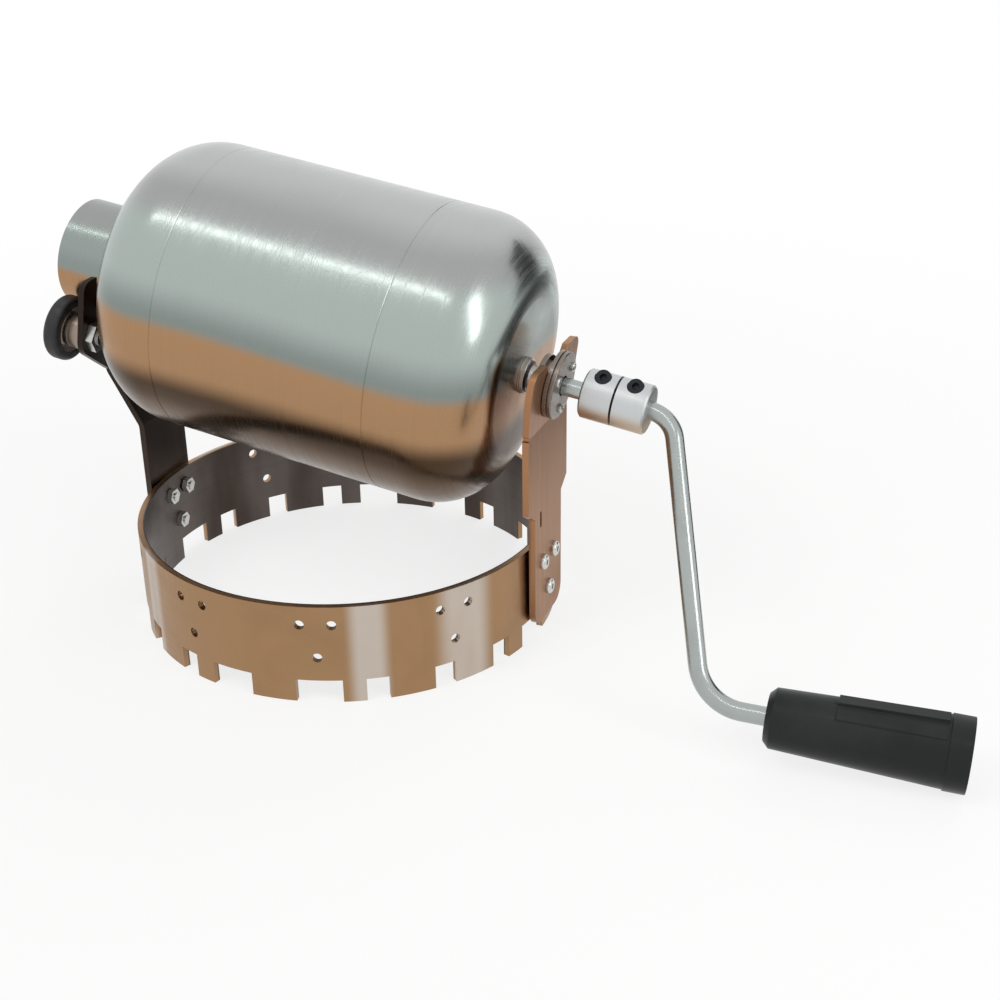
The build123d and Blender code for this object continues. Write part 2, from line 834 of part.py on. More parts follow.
with BuildPart() as drum_barrel:
    with BuildSketch(cross_plane(neck_seam)):
        Circle(drum_r)
        Circle(drum_inner_r, mode=Mode.SUBTRACT)
    extrude(amount=crank_seam - neck_seam)
    add(seam_groove(neck_seam), mode=Mode.SUBTRACT)
    add(seam_groove(crank_seam), mode=Mode.SUBTRACT)
drum_barrel.part.label = "drum_barrel"
export_step(drum_barrel.part, "parts/drum_barrel.step")

with BuildPart() as neck_end_cap:
    add(end_cap(neck_face, neck_seam, neck_shoulder_r, neck_r))
neck_end_cap.part.label = "neck_end_cap"
export_step(neck_end_cap.part, "parts/neck_end_cap.step")

with BuildPart() as crank_end_cap:
    add(end_cap(crank_face, crank_seam, crank_shoulder_r, boss_r))
crank_end_cap.part.label = "crank_end_cap"
export_step(crank_end_cap.part, "parts/crank_end_cap.step")

with BuildPart() as neck_tube:
    with BuildSketch(meridian_plane()):
        with BuildLine():
            Polyline(
                (neck_mouth, neck_r - neck_wall),
                (neck_mouth, neck_r - mouth_edge),
                (neck_mouth + mouth_edge, neck_r),
                (neck_face + drum_wall, neck_r),
                (neck_face + drum_wall, neck_r - neck_wall),
                close=True,
            )
        make_face()
    revolve(axis=drum_axis)
neck_tube.part.label = "neck_tube"
export_step(neck_tube.part, "parts/neck_tube.step")

vane_start = neck_seam + vane_end_gap
vane_length = crank_seam - vane_end_gap - vane_start
with BuildPart() as mixing_vanes:
    for turn in range(vane_count):
        angle = vane_first_angle + turn * 360 / vane_count
        with BuildSketch(turned_plane(vane_start, angle)):
            with BuildLine():
                outer = CenterArc((0, 0), drum_inner_r, 0, vane_foot_angle)
                inner = CenterArc((0, 0), drum_inner_r - vane_wall, 0, vane_foot_angle)
                Line(outer @ 0, inner @ 0)
                Line(outer @ 1, inner @ 1)
            make_face()
            with Locations((drum_inner_r - vane_wall / 2 - vane_depth / 2, vane_wall / 2)):
                Rectangle(vane_depth, vane_wall)
        extrude(amount=vane_length)
mixing_vanes.part.label = "mixing_vanes"
export_step(mixing_vanes.part, "parts/mixing_vanes.step")


# ------------------------------------------------------------ drive boss, shaft and circlip

with BuildPart() as drive_boss:
    with BuildSketch(meridian_plane()):
        with BuildLine():
            Polyline(
                (crank_face - boss_root, shaft_r),
                (crank_face - boss_root, boss_r),
                (boss_shoulder - boss_chamfer, boss_r),
                (boss_shoulder, boss_r - boss_chamfer),
                (boss_shoulder, boss_nose_r),
                (bearing_seat_start, boss_nose_r),
                (bearing_seat_start, shaft_r),
                close=True,
            )
        make_face()
    revolve(axis=drum_axis)
drive_boss.part.label = "drive_boss"
export_step(drive_boss.part, "parts/drive_boss.step")

with BuildPart() as drive_shaft:
    with BuildSketch(cross_plane(shaft_start)):
        Circle(shaft_r)
    extrude(amount=shaft_end - shaft_start)
    with BuildSketch(meridian_plane()):
        with Locations((cover_start + circlip_w / 2, shaft_r - circlip_groove_depth / 2)):
            Rectangle(circlip_w, circlip_groove_depth)
    revolve(axis=drum_axis, mode=Mode.SUBTRACT)
drive_shaft.part.label = "drive_shaft"
export_step(drive_shaft.part, "parts/drive_shaft.step")

with BuildPart() as shaft_circlip:
    with BuildSketch(cross_plane(cover_start)):
        Circle(circlip_r)
        Circle(shaft_r - circlip_groove_depth, mode=Mode.SUBTRACT)
        with Locations((0, circlip_r)):
            Rectangle(shaft_r, 2 * circlip_r, mode=Mode.SUBTRACT)
    extrude(amount=circlip_w)
shaft_circlip.part.label = "shaft_circlip"
export_step(shaft_circlip.part, "parts/shaft_circlip.step")


# ------------------------------------------------------------ clamp coupling and its screws

screw_lean = math.radians(coupling_screw_angle)
screw_up = upward * math.cos(screw_lean) - sideways * math.sin(screw_lean)
split_out = upward * math.sin(screw_lean) + sideways * math.cos(screw_lean)
coupling_screw_places = (
    (coupling_start + coupling_middle) / 2,
    (coupling_middle + coupling_end) / 2,
)


def coupling_plane(place):
    """A cross plane of the coupling: local x goes out through its split."""
    return Plane(origin=on_axis(place), x_dir=split_out, z_dir=along)


def coupling_screw_plane(place):
    """The plane under a clamp screw's head, facing out of the coupling."""
    under_head = coupling_head_face - coupling_head_h
    origin = on_axis(place) + split_out * coupling_screw_offset + screw_up * under_head
    return Plane(origin=origin, x_dir=along, z_dir=screw_up)


with BuildPart() as coupling_body:
    with BuildSketch(coupling_plane(coupling_start)):
        Circle(coupling_r)
        Circle(shaft_r, mode=Mode.SUBTRACT)
    extrude(amount=coupling_length)
    rims = edges().filter_by(GeomType.CIRCLE).group_by(SortBy.RADIUS)[-1]
    chamfer(rims, coupling_edge)
    with BuildSketch(coupling_plane(coupling_start)):
        with Locations((coupling_r / 2, 0)):
            Rectangle(coupling_r, coupling_split_w)
    extrude(amount=coupling_length, mode=Mode.SUBTRACT)
    with BuildSketch(cross_plane(coupling_middle - coupling_slot_w / 2)):
        with Locations(((coupling_slot_reach - coupling_r) / 2, 0)):
            Rectangle(coupling_r + coupling_slot_reach, 2 * coupling_r)
    extrude(amount=coupling_slot_w, mode=Mode.SUBTRACT)
    with Locations(*[coupling_screw_plane(place) for place in coupling_screw_places]):
        CounterBoreHole(
            coupling_screw_r, coupling_head_r + hole_clearance, coupling_r, depth=coupling_screw_depth
        )
coupling_body.part.label = "coupling_body"
export_step(coupling_body.part, "parts/coupling_body.step")

with BuildPart() as coupling_screws:
    for place in coupling_screw_places:
        plane = coupling_screw_plane(place)
        with BuildSketch(plane):
            Circle(coupling_head_r)
        extrude(amount=coupling_head_h)
        with BuildSketch(plane.offset(coupling_head_h)):
            RegularPolygon(radius=hex_socket_across / 2, side_count=6, major_radius=False)
        extrude(amount=-coupling_head_h / 2, mode=Mode.SUBTRACT)
        with BuildSketch(plane):
            Circle(coupling_screw_r)
        extrude(amount=-coupling_screw_depth)
coupling_screws.part.label = "coupling_screws"
export_step(coupling_screws.part, "parts/coupling_screws.step")


# ------------------------------------------------------------ crank rod and what holds the grip on it

with BuildPart() as crank_rod:
    with BuildLine(crank_plane):
        FilletPolyline(
            (crank_start, 0),
            (crank_elbow_place, 0),
            (crank_knee_place, crank_knee_r),
            crank_end,
            radius=(crank_elbow_bend_r, crank_knee_bend_r),
        )
    with BuildSketch(cross_plane(crank_start)):
        Circle(crank_rod_r)
    sweep()
crank_rod.part.label = "crank_rod"
export_step(crank_rod.part, "parts/crank_rod.step")


def grip_plane(distance):
    """A plane square to the grip, at a distance from its near end, facing its far end."""
    return Plane(origin=grip_start + grip_dir * distance, x_dir=grip_top, z_dir=grip_dir)


with BuildPart() as grip_stop_ring:
    stop_plane = grip_plane(grip_stop_recess - grip_end_play - grip_stop_w)
    add(tube(stop_plane, grip_stop_r, crank_rod_r, grip_stop_w))
grip_stop_ring.part.label = "grip_stop_ring"
export_step(grip_stop_ring.part, "parts/grip_stop_ring.step")

with BuildPart() as grip_washer:
    add(tube(grip_plane(grip_washer_start), grip_washer_r, crank_rod_r, grip_washer_w))
grip_washer.part.label = "grip_washer"
export_step(grip_washer.part, "parts/grip_washer.step")

with BuildPart() as grip_lock_nut:
    add(hex_nut(grip_plane(lock_nut_start), lock_nut_across, lock_nut_h, crank_rod_r))
grip_lock_nut.part.label = "grip_lock_nut"
export_step(grip_lock_nut.part, "parts/grip_lock_nut.step")


# ------------------------------------------------------------ grip

collar_start = grip_length - grip_collar_length
body_far_r = grip_far_r - grip_collar_step


def grip_r(distance):
    """Outer radius of the grip's tapered body at a distance from its near end."""
    return grip_near_r + (body_far_r - grip_near_r) * distance / collar_start


def grip_plane_at(angle):
    """A plane through the grip's axis: local y points at an angle from the grip's top."""
    turn = math.radians(angle)
    outward = grip_top * math.cos(turn) + grip_dir.cross(grip_top) * math.sin(turn)
    return Plane(origin=grip_start, x_dir=grip_dir, z_dir=grip_dir.cross(outward))


def raised_profile(plane, rise):
    """Side view of what stands up from the grip between the rib's ends, along its taper."""
    start, end = grip_rib_start, grip_rib_end
    with BuildSketch(plane) as profile:
        with BuildLine():
            Polyline(
                (start, grip_r(start) - grip_wall / 2),
                (start, grip_r(start) + rise),
                (end, grip_r(end) + rise),
                (end, grip_r(end) - grip_wall / 2),
                close=True,
            )
        make_face()
    return profile.sketch


with BuildPart() as handle_grip:
    with BuildSketch(grip_side):
        with BuildLine():
            Polyline(
                (0, grip_near_r - grip_chamfer),
                (grip_chamfer, grip_near_r),
                (collar_start, body_far_r),
                (collar_start, grip_far_r),
                (grip_length, grip_far_r),
                (grip_length, 0),
                (0, 0),
                close=True,
            )
        make_face()
    revolve(axis=grip_axis)
    extrude(raised_profile(grip_side, grip_rib_rise), amount=grip_rib_w / 2, both=True)
    revolve(
        raised_profile(grip_plane_at(-grip_pad_angle), grip_pad_rise),
        axis=grip_axis,
        revolution_arc=2 * grip_pad_angle,
    )
    with BuildSketch(grip_side):
        with BuildLine():
            Polyline(
                (0, 0),
                (0, grip_stop_r + grip_end_play),
                (grip_stop_recess, grip_stop_r + grip_end_play),
                (grip_stop_recess, crank_rod_r + grip_bore_clearance),
                (grip_solid_length, crank_rod_r + grip_bore_clearance),
                (grip_solid_length, grip_r(grip_solid_length) - grip_wall),
                (grip_length, grip_far_r - grip_wall),
                (grip_length, 0),
                close=True,
            )
        make_face()
    revolve(axis=grip_axis, mode=Mode.SUBTRACT)
handle_grip.part.label = "handle_grip"
export_step(handle_grip.part, "parts/handle_grip.step")
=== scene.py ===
import json
import math

import bmesh
import bpy
from bpy.props import FloatProperty, FloatVectorProperty, IntProperty, PointerProperty
from mathutils import Matrix, Vector


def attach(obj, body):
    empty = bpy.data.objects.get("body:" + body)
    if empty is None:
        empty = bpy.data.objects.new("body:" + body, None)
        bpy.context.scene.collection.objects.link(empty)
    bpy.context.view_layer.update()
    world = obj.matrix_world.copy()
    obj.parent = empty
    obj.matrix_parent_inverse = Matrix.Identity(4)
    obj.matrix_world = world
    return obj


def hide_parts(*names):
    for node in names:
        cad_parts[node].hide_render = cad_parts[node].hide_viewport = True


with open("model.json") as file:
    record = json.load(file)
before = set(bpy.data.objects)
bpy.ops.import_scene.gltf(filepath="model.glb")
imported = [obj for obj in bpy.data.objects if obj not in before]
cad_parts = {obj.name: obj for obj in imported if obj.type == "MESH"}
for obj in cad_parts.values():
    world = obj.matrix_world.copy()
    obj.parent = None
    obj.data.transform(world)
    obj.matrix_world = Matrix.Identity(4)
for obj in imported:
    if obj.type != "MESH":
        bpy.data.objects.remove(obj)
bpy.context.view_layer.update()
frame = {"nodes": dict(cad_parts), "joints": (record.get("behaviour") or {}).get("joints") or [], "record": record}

bl_info = {
    "name": "Stovetop Coffee Roaster",
    "version": (1, 0, 0),
    "blender": (4, 5, 0),
    "location": "3D Viewport > Sidebar > Roaster",
    "description": "Dresses a hand-cranked stovetop coffee roaster: steel drum, stand, hub, crank and grip",
    "category": "Object",
}

MM = 0.001

# ---------------------------------------------------------------- the drum's axis and sizes

DRUM_JOINT = next(joint for joint in frame["joints"] if joint["name"] == "drum_spin")
AXIS_POINT = Vector(DRUM_JOINT["pos_m"])
ALONG = Vector(DRUM_JOINT["axis"]).normalized()
SIDEWAYS = Vector((0.0, 1.0, 0.0))
UPWARD = ALONG.cross(SIDEWAYS)
DRUM_FRAME = (  # local X along the axis towards the crank, Z up, square to it
    Matrix.Translation(AXIS_POINT) @ Matrix((ALONG, SIDEWAYS, UPWARD)).transposed().to_4x4())
UPRIGHT_FRAME = Matrix.Identity(4)


def vertex_places(node):
    """Places of a CAD node's vertices, in metres."""
    return [vertex.co for vertex in frame["nodes"][node].data.vertices]


def place_along(point):
    """How far along the drum's axis a point lies."""
    return (Vector(point) - AXIS_POINT).dot(ALONG)


def spun_span(node):
    """First and last place along the drum's axis of a CAD node turned about it."""
    places = [place_along(point) for point in vertex_places(node)]
    return min(places), max(places)


def spun_radius(node):
    """Largest distance of a CAD node from the drum's axis."""
    return max(((point - AXIS_POINT) - ALONG * place_along(point)).length for point in vertex_places(node))


DRUM_R = spun_radius("drum_barrel")
NECK_R = spun_radius("neck_tube")
RING_R = max(point.xy.length for point in vertex_places("base_ring"))


# ---------------------------------------------------------------- what a user would change


def length(name, description, default, least=0.0, most=1.0 * MM):
    """A length that a user may change."""
    return FloatProperty(
        name=name, description=description, default=default, min=least, max=most, unit="LENGTH", precision=5)


def colour(name, description, default):
    """A colour that a user may change."""
    return FloatVectorProperty(
        name=name, description=description, default=default, size=3, min=0.0, max=1.0, subtype="COLOR")


class RoasterSizes(bpy.types.PropertyGroup):
    """Sizes of the finishing details."""

    sheet_edge: length("Sheet edge", "Rounding of the cut edges of ring and brackets", 0.22 * MM)
    turned_edge: length("Turned edge", "Rounding of the edges of turned and milled pieces", 0.18 * MM)
    grip_edge: length("Grip edge", "Rounding of the moulded edges of the grip", 0.45 * MM, most=2.0 * MM)
    weld_width: length(
        "Weld width", "Width of the weld bead round the neck", 1.6 * MM, least=0.4 * MM, most=4.0 * MM)
    seam_width: length(
        "Seam width", "Width of the ground weld where barrel and caps meet", 0.46 * MM, least=0.2 * MM)
    weld_ripples: IntProperty(
        name="Weld ripples", description="Ripples in the weld bead round the neck",
        default=110, min=12, max=400)


class RoasterColours(bpy.types.PropertyGroup):
    """Colours of the finishes."""

    drum: colour("Drum steel", "Satin stainless steel of the drum", (0.46, 0.48, 0.47))
    # Painted reflection: the green-grey of the room reflected in the drum's sides, painted into the colour.
    painted_cool_reflection: colour(
        "Drum side steel", "Faint green cast of the steel at the drum's side", (0.395, 0.45, 0.425))
    # Painted reflection: the warm table reflected low on the drum, painted into the colour; a darker share of it
    # paints the dark band at the bottom.
    painted_warm_reflection: colour("Drum heat tint", "Straw tint where the flame plays on the drum", (0.40, 0.235, 0.125))
    ring: colour("Ring steel", "Heat-tinted steel of the base ring", (0.375, 0.225, 0.118))
    ring_bright: colour(
        "Bright ring steel", "Steel of the ring where the tint is wiped off", (0.56, 0.49, 0.42))
    bracket: colour("Bracket steel", "Heat-tinted steel of the crank-side bracket", (0.345, 0.178, 0.092))
    # Painted shade: the dark of the neck-side bracket and of the ring's inner face, painted into the colour.
    painted_shade: colour(
        "Smoked steel", "Steel darkened by the burner, on the neck-side bracket", (0.075, 0.055, 0.045))
    aluminium: colour("Aluminium", "Bead-blasted aluminium of the coupling", (0.60, 0.62, 0.62))
    rod: colour("Crank rod", "Drawn steel rod", (0.40, 0.43, 0.42))
    hardware: colour("Hardware", "Zinc-plated screws, nuts and rings", (0.56, 0.56, 0.54))
    rubber: colour("Rubber", "Tyres of the neck rollers", (0.010, 0.011, 0.012))
    grip: colour("Grip plastic", "Moulded plastic of the grip", (0.010, 0.012, 0.011))


# ---------------------------------------------------------------- lesser colours and places of the finishes

DRUM_OILS = ((0.10, 0.055, 0.03), (0.20, 0.12, 0.07))  # dark and pale film that the beans leave
NECK_OILS = ((0.12, 0.07, 0.04), (0.26, 0.17, 0.11))
# Paler patches in the painted shade of the ring's inner face.
PAINTED_SHADE_HAZE = (0.135, 0.115, 0.105)
# Painted reflection of the warm table on the coupling's underside.
PAINTED_TABLE_REFLECTION = (0.55, 0.44, 0.34)
RUBBER_DUST = (0.045, 0.042, 0.038)
VANE_BROWN = (0.22, 0.14, 0.09)
WELD_STRAW = (0.42, 0.36, 0.30)
TURNED_STEEL = (0.46, 0.44, 0.42)
BEARING_STEEL = (0.58, 0.58, 0.57)
COLLAR_STEEL = (0.34, 0.27, 0.22)
HUB_STEEL = (0.235, 0.20, 0.175)
BLACK_OXIDE = (0.030, 0.032, 0.036)

# Painted reflection bands, from the crown down: the room and the table reflected in the steel, painted into its
# colour.
# Each band gives the height where it starts, where it is full, its colour and its share of that colour. A height
# is measured from the axis, as a share of the radius.
DRUM_PAINTED_REFLECTIONS = (
    (0.98, 0.84, "drum", 0.76),
    (0.80, 0.66, "painted_cool_reflection", 1.0),
    (0.40, 0.14, "painted_cool_reflection", 0.60),
    (0.15, 0.05, "painted_warm_reflection", 1.0),
    (-0.17, -0.38, "painted_warm_reflection", 0.18),
    (-0.44, -0.60, "painted_warm_reflection", 0.30),
)
# Painted reflection bands of the neck, in the same form.
NECK_PAINTED_REFLECTIONS = (
    (0.90, 0.70, "painted_cool_reflection", 0.76),
    (0.45, 0.12, "painted_cool_reflection", 0.66),
    (0.08, -0.10, "painted_warm_reflection", 1.0),
)

# Bright bands of the ring: the angle of the middle from +X and half the width, in degrees.
WIPED_BANDS = ((-59.0, 4.2), (-33.0, 6.5), (24.0, 6.0), (97.0, 5.0), (160.0, 7.0), (-128.0, 4.0))
BRACKET_TINT_LOW = 45 * MM
BRACKET_TINT_HIGH = 125 * MM

SEAM_SUNK = 0.28 * MM  # how far the middle of a seam's bead lies under the drum's skin
SEAM_RIPPLES = 300
BOSS_WELD = 0.6  # width of the boss's bead as a share of the neck's
BOSS_RIPPLES = 40

# stretch of the grain: cells in a metre along each axis
STRIP_GRAIN = (30.0, 30.0, 2200.0)  # lines that run round an upright ring
SHEET_GRAIN = (60.0, 2000.0, 22.0)  # lines that run up a bracket's leg
VANE_GRAIN = (40.0, 900.0, 900.0)  # lines that run along a vane


def turned_grain(fine, broad):
    """Stretch of lines that run round the local X axis: cells in a metre along it and across it."""
    return (fine, broad, broad)


def even_grain(cells):
    """Stretch of a grain without direction: cells in a metre."""
    return (cells, cells, cells)


# ---------------------------------------------------------------- shader nodes


def plug(tree, value, socket):
    """Links an output to a node's input, or sets a plain number, colour or vector on it."""
    if isinstance(value, bpy.types.NodeSocket):
        tree.links.new(value, socket)
    else:
        socket.default_value = value


def math_node(tree, operation, *values):
    """A Math node fed by outputs or plain numbers; returns its output."""
    node = tree.nodes.new("ShaderNodeMath")
    node.operation = operation
    for value, socket in zip(values, node.inputs):
        plug(tree, value, socket)
    return node.outputs[0]


def noise(tree, vector, scale, detail=2.0, rough=0.5):
    """A Noise Texture reading a vector; returns its factor."""
    node = tree.nodes.new("ShaderNodeTexNoise")
    for label, value in (("Vector", vector), ("Scale", scale), ("Detail", detail), ("Roughness", rough)):
        plug(tree, value, node.inputs[label])
    return node.outputs["Fac"]


def remap(tree, value, low, high, to_low=0.0, to_high=1.0):
    """A smooth Map Range; returns its result."""
    node = tree.nodes.new("ShaderNodeMapRange")
    node.interpolation_type = "SMOOTHSTEP"
    for label, number in (
            ("Value", value), ("From Min", low), ("From Max", high), ("To Min", to_low), ("To Max", to_high)):
        plug(tree, number, node.inputs[label])
    return node.outputs["Result"]


def scaled(tree, vector, stretch):
    """A vector multiplied, part by part, by another."""
    node = tree.nodes.new("ShaderNodeVectorMath")
    node.operation = "MULTIPLY"
    plug(tree, vector, node.inputs[0])
    plug(tree, stretch, node.inputs[1])
    return node.outputs[0]


def separated(tree, vector):
    """The X, Y and Z of a vector."""
    node = tree.nodes.new("ShaderNodeSeparateXYZ")
    plug(tree, vector, node.inputs[0])
    return node.outputs


def distance_from_axis(tree, first, second):
    """How far a point lies from an axis, given its two places square to it."""
    squares = [math_node(tree, "MULTIPLY", place, place) for place in (first, second)]
    return math_node(tree, "SQRT", math_node(tree, "ADD", *squares))


def bumped(tree, height, strength, depth):
    """The normal of a surface with this height on it; the depth is in metres."""
    node = tree.nodes.new("ShaderNodeBump")
    for label, value in (("Height", height), ("Strength", strength), ("Distance", depth)):
        plug(tree, value, node.inputs[label])
    return node.outputs["Normal"]


# ---------------------------------------------------------------- shader node groups


def new_group(name, inputs, outputs):
    """An empty shader node group with named sockets, and its input and output nodes."""
    group = bpy.data.node_groups.new(name, "ShaderNodeTree")
    for label, kind, value in inputs:
        socket = group.interface.new_socket(label, in_out="INPUT", socket_type=kind)
        if value is not None:
            socket.default_value = value
    for label, kind in outputs:
        group.interface.new_socket(label, in_out="OUTPUT", socket_type=kind)
    return group, group.nodes.new("NodeGroupInput").outputs, group.nodes.new("NodeGroupOutput").inputs


def grain_group():
    """Fine grain left by brushing or spinning: lines stretched by the Stretch vector."""
    group, given, out = new_group(
        "Metal grain",
        [("Vector", "NodeSocketVector", None), ("Stretch", "NodeSocketVector", (1, 1, 1)),
         ("Depth", "NodeSocketFloat", 0.1)],
        [("Lines", "NodeSocketFloat"), ("Normal", "NodeSocketVector")])
    stretched = scaled(group, given["Vector"], given["Stretch"])
    fine = math_node(group, "MULTIPLY", noise(group, stretched, 1.0, 3.0, 0.6), 0.65)
    broad = math_node(group, "MULTIPLY", noise(group, stretched, 0.17, 2.0, 0.5), 0.35)
    lines = math_node(group, "ADD", fine, broad)
    plug(group, lines, out["Lines"])
    plug(group, bumped(group, lines, given["Depth"], 0.02 * MM), out["Normal"])
    return group


def marks_group():
    """Dull stains and faint broken scratches that handling leaves on metal."""
    group, given, out = new_group(
        "Handling marks",
        [("Vector", "NodeSocketVector", None), ("Size", "NodeSocketFloat", 30.0)],
        [("Stains", "NodeSocketFloat"), ("Scratches", "NodeSocketFloat")])
    cloud = group.nodes.new("ShaderNodeTexNoise")
    wave = group.nodes.new("ShaderNodeTexWave")
    wave.wave_type = "BANDS"
    wave.bands_direction = "DIAGONAL"
    for node, settings in (
            (cloud, {"Vector": given["Vector"], "Scale": given["Size"], "Detail": 4.0, "Distortion": 0.6}),
            (wave, {"Vector": given["Vector"], "Scale": 42.0, "Distortion": 26.0, "Detail": 3.0,
                    "Detail Scale": 1.4})):
        for label, value in settings.items():
            plug(group, value, node.inputs[label])
    thin = remap(group, wave.outputs["Fac"], 0.985, 1.0)
    broken = remap(group, noise(group, given["Vector"], 18.0), 0.52, 0.62)
    plug(group, remap(group, cloud.outputs["Fac"], 0.46, 0.72), out["Stains"])
    plug(group, math_node(group, "MULTIPLY", thin, broken), out["Scratches"])
    return group


def turned_group():
    """Place along an axis, distance from it and height over it, from a vector whose X runs along it."""
    group, given, out = new_group(
        "Round the axis", [("Vector", "NodeSocketVector", None)],
        [("Along", "NodeSocketFloat"), ("Radius", "NodeSocketFloat"), ("Lift", "NodeSocketFloat")])
    parts = separated(group, given["Vector"])
    radius = distance_from_axis(group, parts["Y"], parts["Z"])
    plug(group, parts["X"], out["Along"])
    plug(group, radius, out["Radius"])
    plug(group, math_node(group, "DIVIDE", parts["Z"], radius), out["Lift"])
    return group


GROUP_MAKERS = {"grain": grain_group, "marks": marks_group, "turned": turned_group}
GROUPS = {}


def group_named(key):
    """One of the shared node groups, built the first time it is asked for."""
    if key not in GROUPS:
        GROUPS[key] = GROUP_MAKERS[key]()
    return GROUPS[key]


# ---------------------------------------------------------------- materials

# A Mix node's sockets for colours, found by place because its sockets for numbers have the same names.
MIX_FIRST = 6
MIX_SECOND = 7
MIX_RESULT = 2


class Finish:
    """A material with its Principled BSDF and the links that a finish needs."""

    def __init__(self, name, metallic=1.0):
        self.material = bpy.data.materials.new(name)
        self.material.use_nodes = True
        self.tree = self.material.node_tree
        self.shader = self.tree.nodes["Principled BSDF"]
        self.shader.inputs["Metallic"].default_value = metallic
        self.coords = self.tree.nodes.new("ShaderNodeTexCoord").outputs["Object"]

    def turned_to(self, matrix):
        """Object coordinates seen in another frame, given by its matrix."""
        inverse = matrix.inverted()
        node = self.tree.nodes.new("ShaderNodeMapping")
        node.inputs["Location"].default_value = inverse.to_translation()
        node.inputs["Rotation"].default_value = inverse.to_euler()
        plug(self.tree, self.coords, node.inputs["Vector"])
        return node.outputs["Vector"]

    def group(self, key, **values):
        """A shared node group placed in this material, its inputs linked or set; returns its outputs."""
        node = self.tree.nodes.new("ShaderNodeGroup")
        node.node_tree = group_named(key)
        for label, value in values.items():
            plug(self.tree, value, node.inputs[label])
        return node.outputs

    def blend(self, mask, first, second):
        """A colour that goes from the first to the second as the mask goes from 0 to 1."""
        node = self.tree.nodes.new("ShaderNodeMix")
        node.data_type = "RGBA"
        plug(self.tree, mask, node.inputs["Factor"])
        for shade, index in ((first, MIX_FIRST), (second, MIX_SECOND)):
            if not isinstance(shade, bpy.types.NodeSocket):
                shade = (*shade, 1.0)
            plug(self.tree, shade, node.inputs[index])
        return node.outputs[MIX_RESULT]

    def feed(self, label, socket):
        """Links a socket to an input of the shader."""
        plug(self.tree, socket, self.shader.inputs[label])


def darker(shade, share):
    """A colour times a share."""
    return tuple(channel * share for channel in shade)


def brushed_metal(name, shade, matrix, stretch, roughness=0.32, depth=0.25, marks=0.25):
    """A metal with fine grain, stains and faint scratches; returns its Finish, vector and colour."""
    finish = Finish(name)
    tree = finish.tree
    vector = finish.turned_to(matrix)
    grain = finish.group("grain", Vector=vector, Stretch=stretch, Depth=depth)
    worn = finish.group("marks", Vector=finish.coords, Size=24.0)
    lined = finish.blend(grain["Lines"], darker(shade, 0.94), darker(shade, 1.06))
    stains = math_node(tree, "MULTIPLY", worn["Stains"], marks)
    stained = finish.blend(stains, lined, darker(shade, 0.70))
    rough = remap(tree, grain["Lines"], 0.3, 0.7, roughness - 0.05, roughness + 0.07)
    for mark in ("Stains", "Scratches"):
        rough = math_node(tree, "ADD", rough, math_node(tree, "MULTIPLY", worn[mark], 0.06))
    finish.feed("Base Color", stained)
    finish.feed("Roughness", rough)
    finish.feed("Normal", grain["Normal"])
    return finish, vector, stained


def bright_metal(name, shade, matrix, roughness, stretch=even_grain(900.0)):
    """Turned, drawn or plated metal."""
    return brushed_metal(name, shade, matrix, stretch, roughness=roughness, depth=0.12, marks=0.3)[0].material


def paint_reflections_by_height(finish, shade, height, zones, colours):
    """Painted reflection: a colour that changes with height, band by band from the crown down."""
    for start, full, name, share in zones:
        mask = remap(finish.tree, height, start, full)
        shade = finish.blend(mask, shade, darker(getattr(colours, name), share))
    return shade


def drum_steel(colours):
    """Satin stainless of the drum: grain round the axis, painted reflection bands by height (cool grey above, the
    warm table low down, a dark band at the bottom), roasting oils inside.
    """
    finish, vector, shade = brushed_metal(
        "drum_steel", colours.drum, DRUM_FRAME, turned_grain(2600.0, 26.0),
        roughness=0.22, depth=0.07, marks=0.10)
    tree = finish.tree
    turned = finish.group("turned", Vector=vector)
    # Painted reflection: the height over the axis, with a wavering edge, picks the bands.
    height = math_node(tree, "MULTIPLY", turned["Lift"], turned["Radius"])
    height = math_node(tree, "MULTIPLY", height, 1.0 / DRUM_R)
    waver = math_node(tree, "SUBTRACT", noise(tree, scaled(tree, vector, (11.0, 20.0, 20.0)), 1.0), 0.5)
    height = math_node(tree, "ADD", height, math_node(tree, "MULTIPLY", waver, 0.09))
    outside = paint_reflections_by_height(finish, shade, height, DRUM_PAINTED_REFLECTIONS, colours)
    start, end = spun_span("drum_barrel")
    inside = remap(tree, turned["Radius"], DRUM_R - 0.7 * MM, DRUM_R - 0.9 * MM)
    for clean, full in ((start - 3 * MM, start + MM), (end + MM, end - 3 * MM)):
        inside = math_node(tree, "MULTIPLY", inside, remap(tree, turned["Along"], clean, full))
    oils = finish.blend(noise(tree, vector, 60.0, 4.0), *DRUM_OILS)
    finish.feed("Base Color", finish.blend(inside, outside, oils))
    return finish.material


def neck_steel(colours):
    """Steel of the neck: the same satin darkened all over as painted shade, with painted reflection bands by
    height and roasting oils in the bore.
    """
    # Painted shade: the neck's colour is the drum's darkened to seven tenths.
    finish, vector, shade = brushed_metal(
        "neck_steel", darker(colours.drum, 0.70), DRUM_FRAME, turned_grain(2400.0, 30.0),
        roughness=0.24, depth=0.08, marks=0.15)
    turned = finish.group("turned", Vector=vector)
    outside = paint_reflections_by_height(finish, shade, turned["Lift"], NECK_PAINTED_REFLECTIONS, colours)
    bore = remap(finish.tree, turned["Radius"], NECK_R - 0.6 * MM, NECK_R - 1.1 * MM)
    oils = finish.blend(noise(finish.tree, vector, 90.0, 4.0), *NECK_OILS)
    finish.feed("Base Color", finish.blend(bore, outside, oils))
    return finish.material


